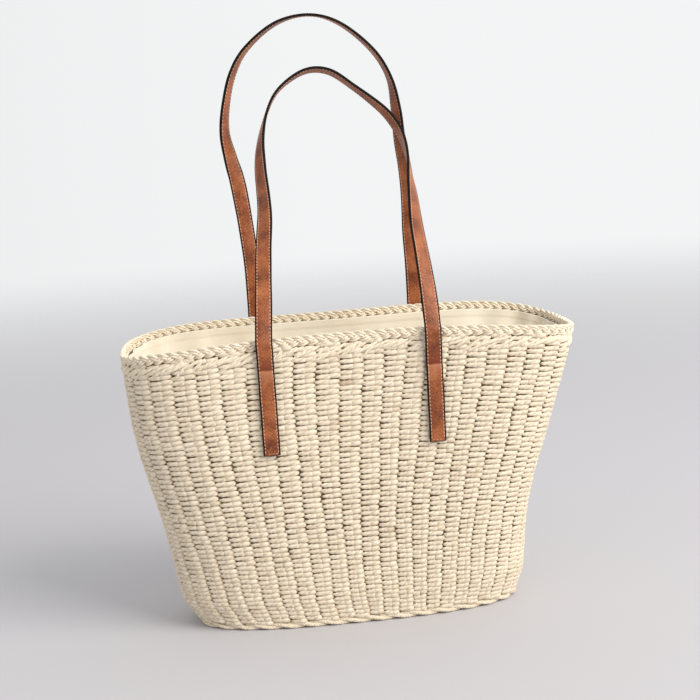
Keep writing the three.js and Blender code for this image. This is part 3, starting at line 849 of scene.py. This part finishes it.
def lining_surface(thickness):
    """Rings from the hem down to the floor: the wall set in by the folds, then the flat floor."""
    around = np.arange(LINING_COLUMNS) / LINING_COLUMNS
    rings = []
    for up in LINING_UPS:
        share = (up - 0.03) / (HEM_UP - 0.03)
        above_floor = ease(share, 0, 0.2)
        strength = (HEM_GATHER + (1 - HEM_GATHER) * ease(1 - share, 0, 0.14)) * above_floor
        ripple = 0.5 * MM * np.sin(TURN * around * 46 + 5 * up) * ease(1 - share, 0, 0.1) * above_floor
        drift = 0.004 * np.sin(9 * up + TURN * around * 3)
        hem = HEM_FOLD * ease(up, HEM_UP - HEM_LOW - 0.006, HEM_UP - HEM_LOW)
        inset = LINING_SET_IN + fold_depth(around + drift) * strength + ripple + hem + thickness
        rings.append(on_wall(around, up, -inset))
    for z, shrink in LINING_FLOOR_RINGS:
        ring = on_wall(around, 0.0, -(FOOT_INSET + LINING_SET_IN + thickness))
        ring[:, :2] *= 1 - shrink
        ring[:, 2] = z + thickness
        rings.append(ring)
    return rings


def lining():
    """The side towards the wall, up from the floor, over the hem and down the side that shows."""
    rings = lining_surface(0.0)[::-1] + lining_surface(CLOTH)
    points, faces = capped_stack(rings, (0, 0, LINING_FLOOR), (0, 0, LINING_FLOOR + CLOTH))
    return mesh_piece("lining_cloth", points, faces, [lining_material()])


cloth = lining()
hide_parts("lining")

# %% [markdown]
# Each handle is one leather strap: sewn flat to the wall for a hand's breadth, creased a little
# below where it leaves the wall, turned in each leg and nearly flat over the top. Its middle line
# is a smooth curve through a short table, and at each step a frame of three vectors says where the
# strap's width and thickness point. The section carries black painted edges and a crowned face.

# %% The handles' middle lines
STRAP_SPACING, BACK_RIGHT_SHIFT = 154 * MM, 9 * MM
STRAP_HALF_WIDTH, STRAP_HALF_THICKNESS = 7.75 * MM, 1.5 * MM
SEWN_END, SEWN_START = 108 * MM, 31 * MM
CREASES_FROM_END = (80 * MM, 73.5 * MM)
FRONT_RISE, BACK_RISE = 242 * MM, 293 * MM
BRAID_HEIGHT, BRAID_WIDTH, RIB_RELIEF, GAP = 10 * MM, 9.5 * MM, 1.1 * MM, 0.3 * MM
# Columns of both tables: across in half spacings of the legs, height above the rim as a share of the
# rise, place towards the back in half depths of the mouth, and turn in degrees
FRONT_RUN = (
    (-0.955, 0.145, -0.87, 82),
    (-0.9, 0.31, -0.5, 68),
    (-0.83, 0.46, -0.03, 53),
    (-0.82, 0.62, 0.47, 38),
    (-0.78, 0.725, 0.77, 16),
    (-0.67, 0.835, 0.95, -3),
    (-0.49, 0.927, 1.01, -8),
    (-0.15, 0.993, 1.05, -13),
    (0.17, 0.988, 1.05, -14),
    (0.49, 0.915, 1.01, -13),
    (0.82, 0.823, 0.97, -22),
    (0.975, 0.757, 0.94, -23),
    (1.045, 0.695, 0.81, -14),
    (1.065, 0.62, 0.56, 6),
    (1.035, 0.515, 0.16, 35),
    (0.995, 0.368, -0.32, 58),
    (0.995, 0.248, -0.66, 67),
    (1.0, 0.124, -0.92, 80),
)
BACK_RUN = (
    (-1.0, 0.153, 1.09, -86),
    (-1.04, 0.313, 1.1, -85),
    (-1.1, 0.456, 1.09, -88),
    (-1.17, 0.544, 1.08, -57),
    (-1.22, 0.63, 1.07, -36),
    (-1.18, 0.721, 1.05, -26),
    (-1.065, 0.823, 1.04, -22),
    (-0.86, 0.905, 1.03, -15),
    (-0.47, 0.98, 1.015, -7),
    (-0.04, 1.002, 1.01, 2),
    (0.35, 0.968, 1.015, -2),
    (0.74, 0.878, 1.03, -6),
    (0.95, 0.782, 1.045, -9),
    (1.02, 0.673, 1.06, -28),
    (1.045, 0.571, 1.075, -37),
    (1.09, 0.476, 1.085, -46),
    (1.115, 0.391, 1.095, -60),
    (1.11, 0.255, 1.1, -74),
    (1.12, 0.119, 1.08, -84),
)


def wall_depth(x, z, sign):
    """Half depth of the smooth wall at places along the mouth and heights, by closing in on the share
    of the height whose drooping level passes through the point."""
    up = z / HEIGHT
    for _ in range(4):
        left, right_side, depth, square, pinch = plan(up)
        u = x / np.where(x < 0, left, right_side)
        up = z / rim_height(u, sign)
    left, right_side, depth, square, pinch = plan(up)
    u = x / np.where(x < 0, left, right_side)
    return depth * (1 + pinch * u * u) * (1 - np.abs(u) ** square) ** (1 / square)


def sewn_leg(x, sign, turn):
    """Rows of the sewn leg, from the cut end up to the rim: place and turn."""
    step = (SEWN_END - SEWN_START) / 3
    drop = np.array([SEWN_END, SEWN_END - step, SEWN_START + step, SEWN_START, BRAID_HEIGHT, 0])
    top = rim_height(x / (MOUTH_WIDTH / 2), sign)
    y = wall_depth(np.full_like(drop, x), top - drop, sign) + RIB_RELIEF + GAP + STRAP_HALF_THICKNESS
    proud = BRAID_WIDTH / 2 - WALL / 2 - RIB_RELIEF + GAP
    y = y + np.where(drop <= BRAID_HEIGHT, proud, 0)
    return np.stack([np.full_like(drop, x), sign * y, top - drop, np.full_like(drop, turn)], -1)


def strap_rows(run, rise, sign, right_shift):
    """All rows of a handle: the left sewn leg, the free run and the right sewn leg."""
    run = np.array(run, float)
    top = rim_height(STRAP_SPACING / MOUTH_WIDTH, sign)
    free = np.stack([
        run[:, 0] * STRAP_SPACING / 2, run[:, 2] * MOUTH_DEPTH / 2, top + run[:, 1] * rise, run[:, 3]], -1)
    turn = -sign * 90.0
    left_leg = sewn_leg(-STRAP_SPACING / 2, sign, turn)
    right_leg = sewn_leg(STRAP_SPACING / 2 + right_shift, sign, turn)
    return np.concatenate([left_leg, free, right_leg[::-1]])


def strap_frames(rows, step):
    """Places along a handle, closer together at its ends and creases, with unit vectors across its
    width and through its thickness, and the length so far."""
    place = np.linspace(0, len(rows) - 1, 4001)
    dense = smooth(rows, place)
    run = np.concatenate([[0], np.cumsum(np.linalg.norm(np.diff(dense[:, :3], axis=0), axis=1))])
    from_end = np.minimum(run, run[-1] - run)
    from_crease = from_end - sum(CREASES_FROM_END) / 2
    closer = 1 + 3 * np.exp(-(from_crease / (10 * MM)) ** 2) + 3 * np.exp(-(from_end / (3 * MM)) ** 2)
    crowd = np.concatenate([[0], np.cumsum(np.diff(run) * closer[1:])])
    length = np.interp(np.linspace(0, crowd[-1], int(crowd[-1] / step) + 1), crowd, run)
    value = np.stack([np.interp(length, run, dense[:, k]) for k in range(4)], -1)
    ahead = np.gradient(value[:, :3], axis=0)
    ahead /= np.linalg.norm(ahead, axis=1, keepdims=True)
    backward = np.array([0.0, 1.0, 0.0])
    flat = backward - ahead * (ahead @ backward)[:, None]
    flat /= np.linalg.norm(flat, axis=1, keepdims=True)
    over = np.cross(ahead, flat)
    turn = np.radians(value[:, 3])[:, None]
    wide = flat * np.cos(turn) + over * np.sin(turn)
    return value[:, :3], wide, np.cross(ahead, wide), length


STRAP_STEP = 2.5 * MM
handle_frames = {
    "front": strap_frames(strap_rows(FRONT_RUN, FRONT_RISE, -1, 0), STRAP_STEP),
    "back": strap_frames(strap_rows(BACK_RUN, BACK_RISE, 1, BACK_RIGHT_SHIFT), STRAP_STEP),
}
print("handle lengths:", {name: round(1000 * f[-1][-1]) for name, f in handle_frames.items()}, "mm")

# %% [markdown]
# Leather needs four things to read as leather: a warm uneven colour, a fine pebbled grain, a soft
# shine and small creases. The painted edge is a separate, black and dull material on the faces at
# both sides of the section.

# %% Leather and thread
def leather_material():
    """Tan leather: slow and fast noise mix three browns, and a pebbled grain makes the bump. Where the
    strap's tone is positive it takes painted shade, and where negative a painted highlight."""
    material, nodes, links, shader = new_material("tan_leather")
    slow = object_noise(nodes, links, 55.0, 4.0)
    fast = object_noise(nodes, links, 900.0, 2.0)
    grain = object_noise(nodes, links, 1100.0, 0.0, "ShaderNodeTexVoronoi")
    tone = maths(nodes, links, "ADD", maths(nodes, links, "MULTIPLY", slow, 0.5),
                 maths(nodes, links, "MULTIPLY", fast, 0.5))
    colour = ramp(nodes, links, tone, (
        (0.37, (0.115, 0.023, 0.006)), (0.5, (0.29, 0.077, 0.020)), (0.63, (0.46, 0.15, 0.05))))
    crease_shade_and_highlight = add(nodes, "ShaderNodeAttribute", attribute_name="tone").outputs["Fac"]
    # Painted shade in the crease: a dark brown mixed in where the strap's tone is positive
    colour = mixed(nodes, links, maths(nodes, links, "MAXIMUM", crease_shade_and_highlight, 0.0), colour, (0.19, 0.034, 0.006))
    # Painted highlight on the bump below the crease: a light tan mixed in where the tone is negative
    painted_highlight = maths(nodes, links, "MAXIMUM", maths(nodes, links, "MULTIPLY", crease_shade_and_highlight, -1.0), 0.0)
    colour = mixed(nodes, links, painted_highlight, colour, (0.50, 0.21, 0.10))
    links.new(colour, shader.inputs["Base Color"])
    shader.inputs["Roughness"].default_value = 0.42
    shader.inputs["Specular IOR Level"].default_value = 0.4
    relief = maths(nodes, links, "ADD", grain, maths(nodes, links, "MULTIPLY", slow, 2.0))
    bumped(nodes, links, shader, relief, 0.6, 0.4 * MM)
    return material


def plain_material(name, colour, roughness, scale, change):
    """One colour, a little lighter and darker by noise, with the same noise as a slight bump."""
    low = tuple(c * (1 - change) for c in colour)
    high = tuple(min(1.0, c * (1 + change)) for c in colour)
    return mottled_material(name, ((0.3, low), (0.7, high)), scale, roughness, 0.3, 0.2 * MM)


tan_leather = leather_material()
edge_paint = plain_material("black_edge_paint", (0.010, 0.007, 0.006), 0.75, 500.0, 0.4)
edge_paint.node_tree.nodes["Principled BSDF"].inputs["Specular IOR Level"].default_value = 0.12
thread = plain_material("tan_thread", (0.74, 0.46, 0.31), 0.6, 2500.0, 0.2)

# %% [markdown]
# The strap's section is a rounded bar of thirty-four points. Its faces are crowned, its seams are
# pressed in a little by the stitches, and its two edges bulge. A little below where the strap leaves
# the wall it is creased: the leather is pinched above the crease line and darkened there with painted
# shade, and stands out below it in a low bump with a painted highlight.

# %% Leather straps
SEAM_INSET = 1.9 * MM
SEAM_PRESS, SEAM_SPREAD = 0.28 * MM, 0.55 * MM
FACE_CROWN = 0.22
EDGE_BULGE = 0.06
HALF_FACE = np.array([0.2, 0.5, 0.69, 0.755, 0.8, 0.83, 0.95])
FACE_PLACES = np.concatenate([-HALF_FACE[::-1], HALF_FACE])
EDGE_ANGLES = np.radians([40.0, 0.0, -40.0])
CREASE_BULGE, CREASE_NIP, CREASE_SHADE = 1.1 * MM, 0.5 * MM, 0.9
PAINTED_END = 0.8 * MM


def crease(length, total):
    """How far the strap stands out, and its painted light: positive for painted shade, negative for a
    painted highlight. With d the distance above the crease line: a bump (1 - e^(d / 1 mm))
    e^-(d / 10 mm)^2 below the line and a nip e^-(d / 2 mm)^2 above it, painted shade over 7 mm above it
    and a painted highlight over 9 mm below."""
    from_end = np.minimum(length, total - length)
    line = np.where(length < total / 2, *CREASES_FROM_END)
    above = np.maximum(from_end - line, 0) / MM
    below = np.maximum(line - from_end, 0) / MM
    over = from_end > line
    bump = CREASE_BULGE * (1 - np.exp(-below)) * np.exp(-(below / 10) ** 2)
    nip = -CREASE_NIP * np.exp(-(above / 2) ** 2)
    lift = np.where(over, nip, bump - CREASE_NIP * np.exp(-(below / 0.7) ** 2))
    dark = CREASE_SHADE * np.exp(-(above / 7) ** 2)
    light = (CREASE_SHADE - 1.5 * (1 - np.exp(-below / 0.4))) * np.exp(-(below / 9) ** 2)
    return lift, np.where(over, dark, light)


def strap_section():
    """Points of the section as (width, thickness), anticlockwise, and whether each side is painted.
    The face is H (1 - crown (w / W)^4) less a bell at each seam, and the edges are flat arcs."""
    w = FACE_PLACES * STRAP_HALF_WIDTH
    seam = STRAP_HALF_WIDTH - SEAM_INSET
    press = SEAM_PRESS * np.exp(-((np.abs(w) - seam) / SEAM_SPREAD) ** 2)
    t = STRAP_HALF_THICKNESS * (1 - FACE_CROWN * np.abs(FACE_PLACES) ** 4) - press
    edge_w = STRAP_HALF_WIDTH * (1 - EDGE_BULGE + EDGE_BULGE * np.cos(EDGE_ANGLES))
    edge_t = STRAP_HALF_THICKNESS * 0.85 * np.sin(EDGE_ANGLES)
    top = np.stack([w[::-1], t[::-1]], -1)
    left = np.stack([-edge_w, edge_t], -1)
    bottom = np.stack([w, -t], -1)
    right_edge = np.stack([edge_w, -edge_t], -1)
    section = np.concatenate([top, left, bottom, right_edge])
    count = len(FACE_PLACES)
    painted = np.zeros(len(section), bool)
    for first in (count - 2, 2 * count + 1):
        painted[first:first + 6] = True
    painted[0] = True
    return section, painted


def strap_piece(name, frames, node):
    """The section carried along the handle, closed by a painted cap at each cut end."""
    centre, wide, thick, length = frames
    section, painted = strap_section()
    total = length[-1]
    from_end = np.minimum(length, total - length)
    lift, crease_shade_and_highlight = crease(length, total)
    spread = 1 + 0.012 * np.sin(length * 61) + 0.008 * np.sin(length * 143)
    rings = centre[:, None] + wide[:, None] * section[:, :1] * spread[:, None, None]
    rings = rings + thick[:, None] * (section[:, 1:] + lift[:, None, None])
    first_pole, last_pole = (centre[k] + thick[k] * lift[k] for k in (0, -1))
    points, faces = capped_stack(rings, first_pole, last_pole)
    sides = len(section)
    at_end = np.maximum(from_end[1:], from_end[:-1]) < PAINTED_END
    slots = np.concatenate([(painted | at_end[:, None]).ravel(), np.ones(2 * sides, bool)]).astype(int)
    # The strap's tone is its painted shade and painted highlight at the crease
    tone = np.concatenate([np.repeat(crease_shade_and_highlight, sides), [0, 0]])
    piece = mesh_piece(name, points, faces, [tan_leather, edge_paint], tone=tone, slots=slots)
    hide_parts(node)


# %% [markdown]
# The stitches run along both edges on both faces, and across the cut ends on the outer face.
# Each is a small closed capsule that sinks into the leather at its ends, and each strap's stitches
# are one mesh.

# %% Stitches
STITCH_PITCH, STITCH_LENGTH, STITCH_RADIUS = 3.4 * MM, 2.5 * MM, 0.36 * MM
STITCH_SIDES = 6
STITCH_RINGS = np.array([0.1, 0.5, 0.9])
END_STITCH_PITCH, END_MARGIN = 0.93 * STITCH_PITCH, 0.4 * MM
SEAM_MARGIN = 2.5 * MM


def stitches(name, frames):
    """Capsules at even steps along both seams and on both faces, then across the ends on the outer
    face: at a share t of a stitch the thread stands out by radius (1.3 sin(pi t) - 0.6)."""
    centre, wide, thick, length = frames
    total = length[-1]
    seam = STRAP_HALF_WIDTH - SEAM_INSET
    t = np.concatenate([[0], STITCH_RINGS, [1]])
    face = STRAP_HALF_THICKNESS * (1 - FACE_CROWN * (seam / STRAP_HALF_WIDTH) ** 4) - SEAM_PRESS
    thread_run = t * STITCH_LENGTH
    along_seam = np.arange(SEAM_MARGIN, total - SEAM_MARGIN, STITCH_PITCH)[:, None] + thread_run
    across = np.arange(END_MARGIN - seam, seam - STITCH_LENGTH, END_STITCH_PITCH)[:, None] + thread_run
    corners = ((-1, -1), (-1, 1), (1, -1), (1, 1))
    runs = [(along_seam, side * seam + 0 * along_seam, face_side) for side, face_side in corners]
    runs += [(end + 0 * across, across, 1) for end in (SEAM_INSET, total - SEAM_INSET)]
    parts = []
    for at, w, face_side in runs:
        place, side_way, out_way = (
            np.stack([np.interp(at, length, column) for column in table.T], -1)
            for table in (centre, wide, thick))
        lift = crease(at, total)[0]
        stand = STITCH_RADIUS * (1.3 * np.sin(math.pi * t) - 0.6)
        line = place + side_way * w[..., None] + out_way * (face_side * (face + stand) + lift)[..., None]
        run = line[:, -1:] - line[:, :1]
        sideways = np.cross(run, out_way)
        sideways /= np.linalg.norm(sideways, axis=-1, keepdims=True)
        angle = (np.arange(STITCH_SIDES) + 0.5) / STITCH_SIDES * TURN
        size = STITCH_RADIUS * (0.6 + 0.4 * np.sin(math.pi * t))[None, 1:-1, None, None]
        out_part = out_way[:, 1:-1, None] * np.cos(angle)[:, None]
        side_part = sideways[:, 1:-1, None] * np.sin(angle)[:, None]
        ring = line[:, 1:-1, None] + size * (out_part + side_part)
        parts.append((ring, line[:, 0], line[:, -1], np.broadcast_to(thread_run, at.shape)))
    rings, first, last, along = (np.concatenate([p[k] for p in parts]) for k in range(4))
    piece = cords_mesh(name, rings, first, last, along, thread, np.full(along.shape, 0.5))


for side_name, frames in handle_frames.items():
    strap_piece(f"{side_name}_strap", frames, f"{side_name}_handle")
    stitches(f"{side_name}_stitches", frames)

# %% [markdown]
# The bag stands on a plain pale floor that fades out far behind it, so that there is no horizon: its
# material turns from matt paint to nothing with the distance from the middle. The world is white and
# a little dimmer to the left and in front, and the large lamp is to the right and in front. That
# leaves the left end in gentle shade and lets every cord throw a small shadow.

# %% Floor and light
FLOOR_RADIUS = 9.0
FADE_FROM, FADE_TO = 0.9, 4.0
SHADE_SIDE = (-0.85, -0.53, 0.0)
OPEN_STRENGTH, SHADE_STRENGTH = 0.91, 0.6
FLOOR_STEPS = 64

floor_mesh = bpy.data.meshes.new("floor")
floor_angle = np.arange(FLOOR_STEPS) / FLOOR_STEPS * TURN
floor_rim = np.stack([np.cos(floor_angle), np.sin(floor_angle), 0 * floor_angle], -1) * FLOOR_RADIUS
floor_mesh.from_pydata(floor_rim.tolist(), [], [list(range(FLOOR_STEPS))])
floor = bpy.data.objects.new("floor", floor_mesh)
bpy.context.scene.collection.objects.link(floor)
floor_material, nodes, links, shader = new_material("pale_floor")
shader.inputs["Base Color"].default_value = (0.54, 0.53, 0.55, 1)
shader.inputs["Roughness"].default_value = 0.95
away = add(nodes, "ShaderNodeVectorMath", operation="LENGTH")
links.new(add(nodes, "ShaderNodeTexCoord").outputs["Object"], away.inputs[0])
fade = mapped(nodes, links, away.outputs["Value"], (FADE_FROM, FADE_TO), (1.0, 0.0),
              interpolation_type="SMOOTHSTEP")
links.new(fade, shader.inputs["Alpha"])
floor_mesh.materials.append(floor_material)

bpy.context.scene.view_settings.view_transform = "Standard"
world = bpy.data.worlds.new("studio")
bpy.context.scene.world = world
world.use_nodes = True
nodes, links = world.node_tree.nodes, world.node_tree.links
sky = nodes["Background"]
sky.inputs[0].default_value = (0.985, 0.995, 1.0, 1)
toward_shade = add(nodes, "ShaderNodeVectorMath", operation="DOT_PRODUCT")
links.new(add(nodes, "ShaderNodeTexCoord").outputs["Generated"], toward_shade.inputs[0])
toward_shade.inputs[1].default_value = SHADE_SIDE
strength = mapped(nodes, links, toward_shade.outputs["Value"], (-0.6, 0.9), (OPEN_STRENGTH, SHADE_STRENGTH))
links.new(strength, sky.inputs[1])

LAMP_TARGET = (0.0, 0.0, 0.2)
LAMPS = (
    {"name": "key", "place": (2.6, -2.25, 2.5), "size": 2.7, "power": 160.0, "colour": (1.0, 0.97, 0.93)},
    {"name": "fill", "place": (-1.4, -1.0, 0.9), "size": 1.2, "power": 2.0, "colour": (0.95, 0.96, 1.0)},
)
for lamp in LAMPS:
    light = bpy.data.lights.new(lamp["name"], "AREA")
    light.size = lamp["size"]
    light.energy = lamp["power"]
    light.color = lamp["colour"]
    holder = bpy.data.objects.new(lamp["name"], light)
    holder.location = lamp["place"]
    aim = np.array(LAMP_TARGET) - np.array(lamp["place"])
    holder.rotation_mode = "QUATERNION"
    holder.rotation_quaternion = Vector(aim).to_track_quat("-Z", "Y")
    bpy.context.scene.collection.objects.link(holder)
print("lamps:", [lamp["name"] for lamp in LAMPS])
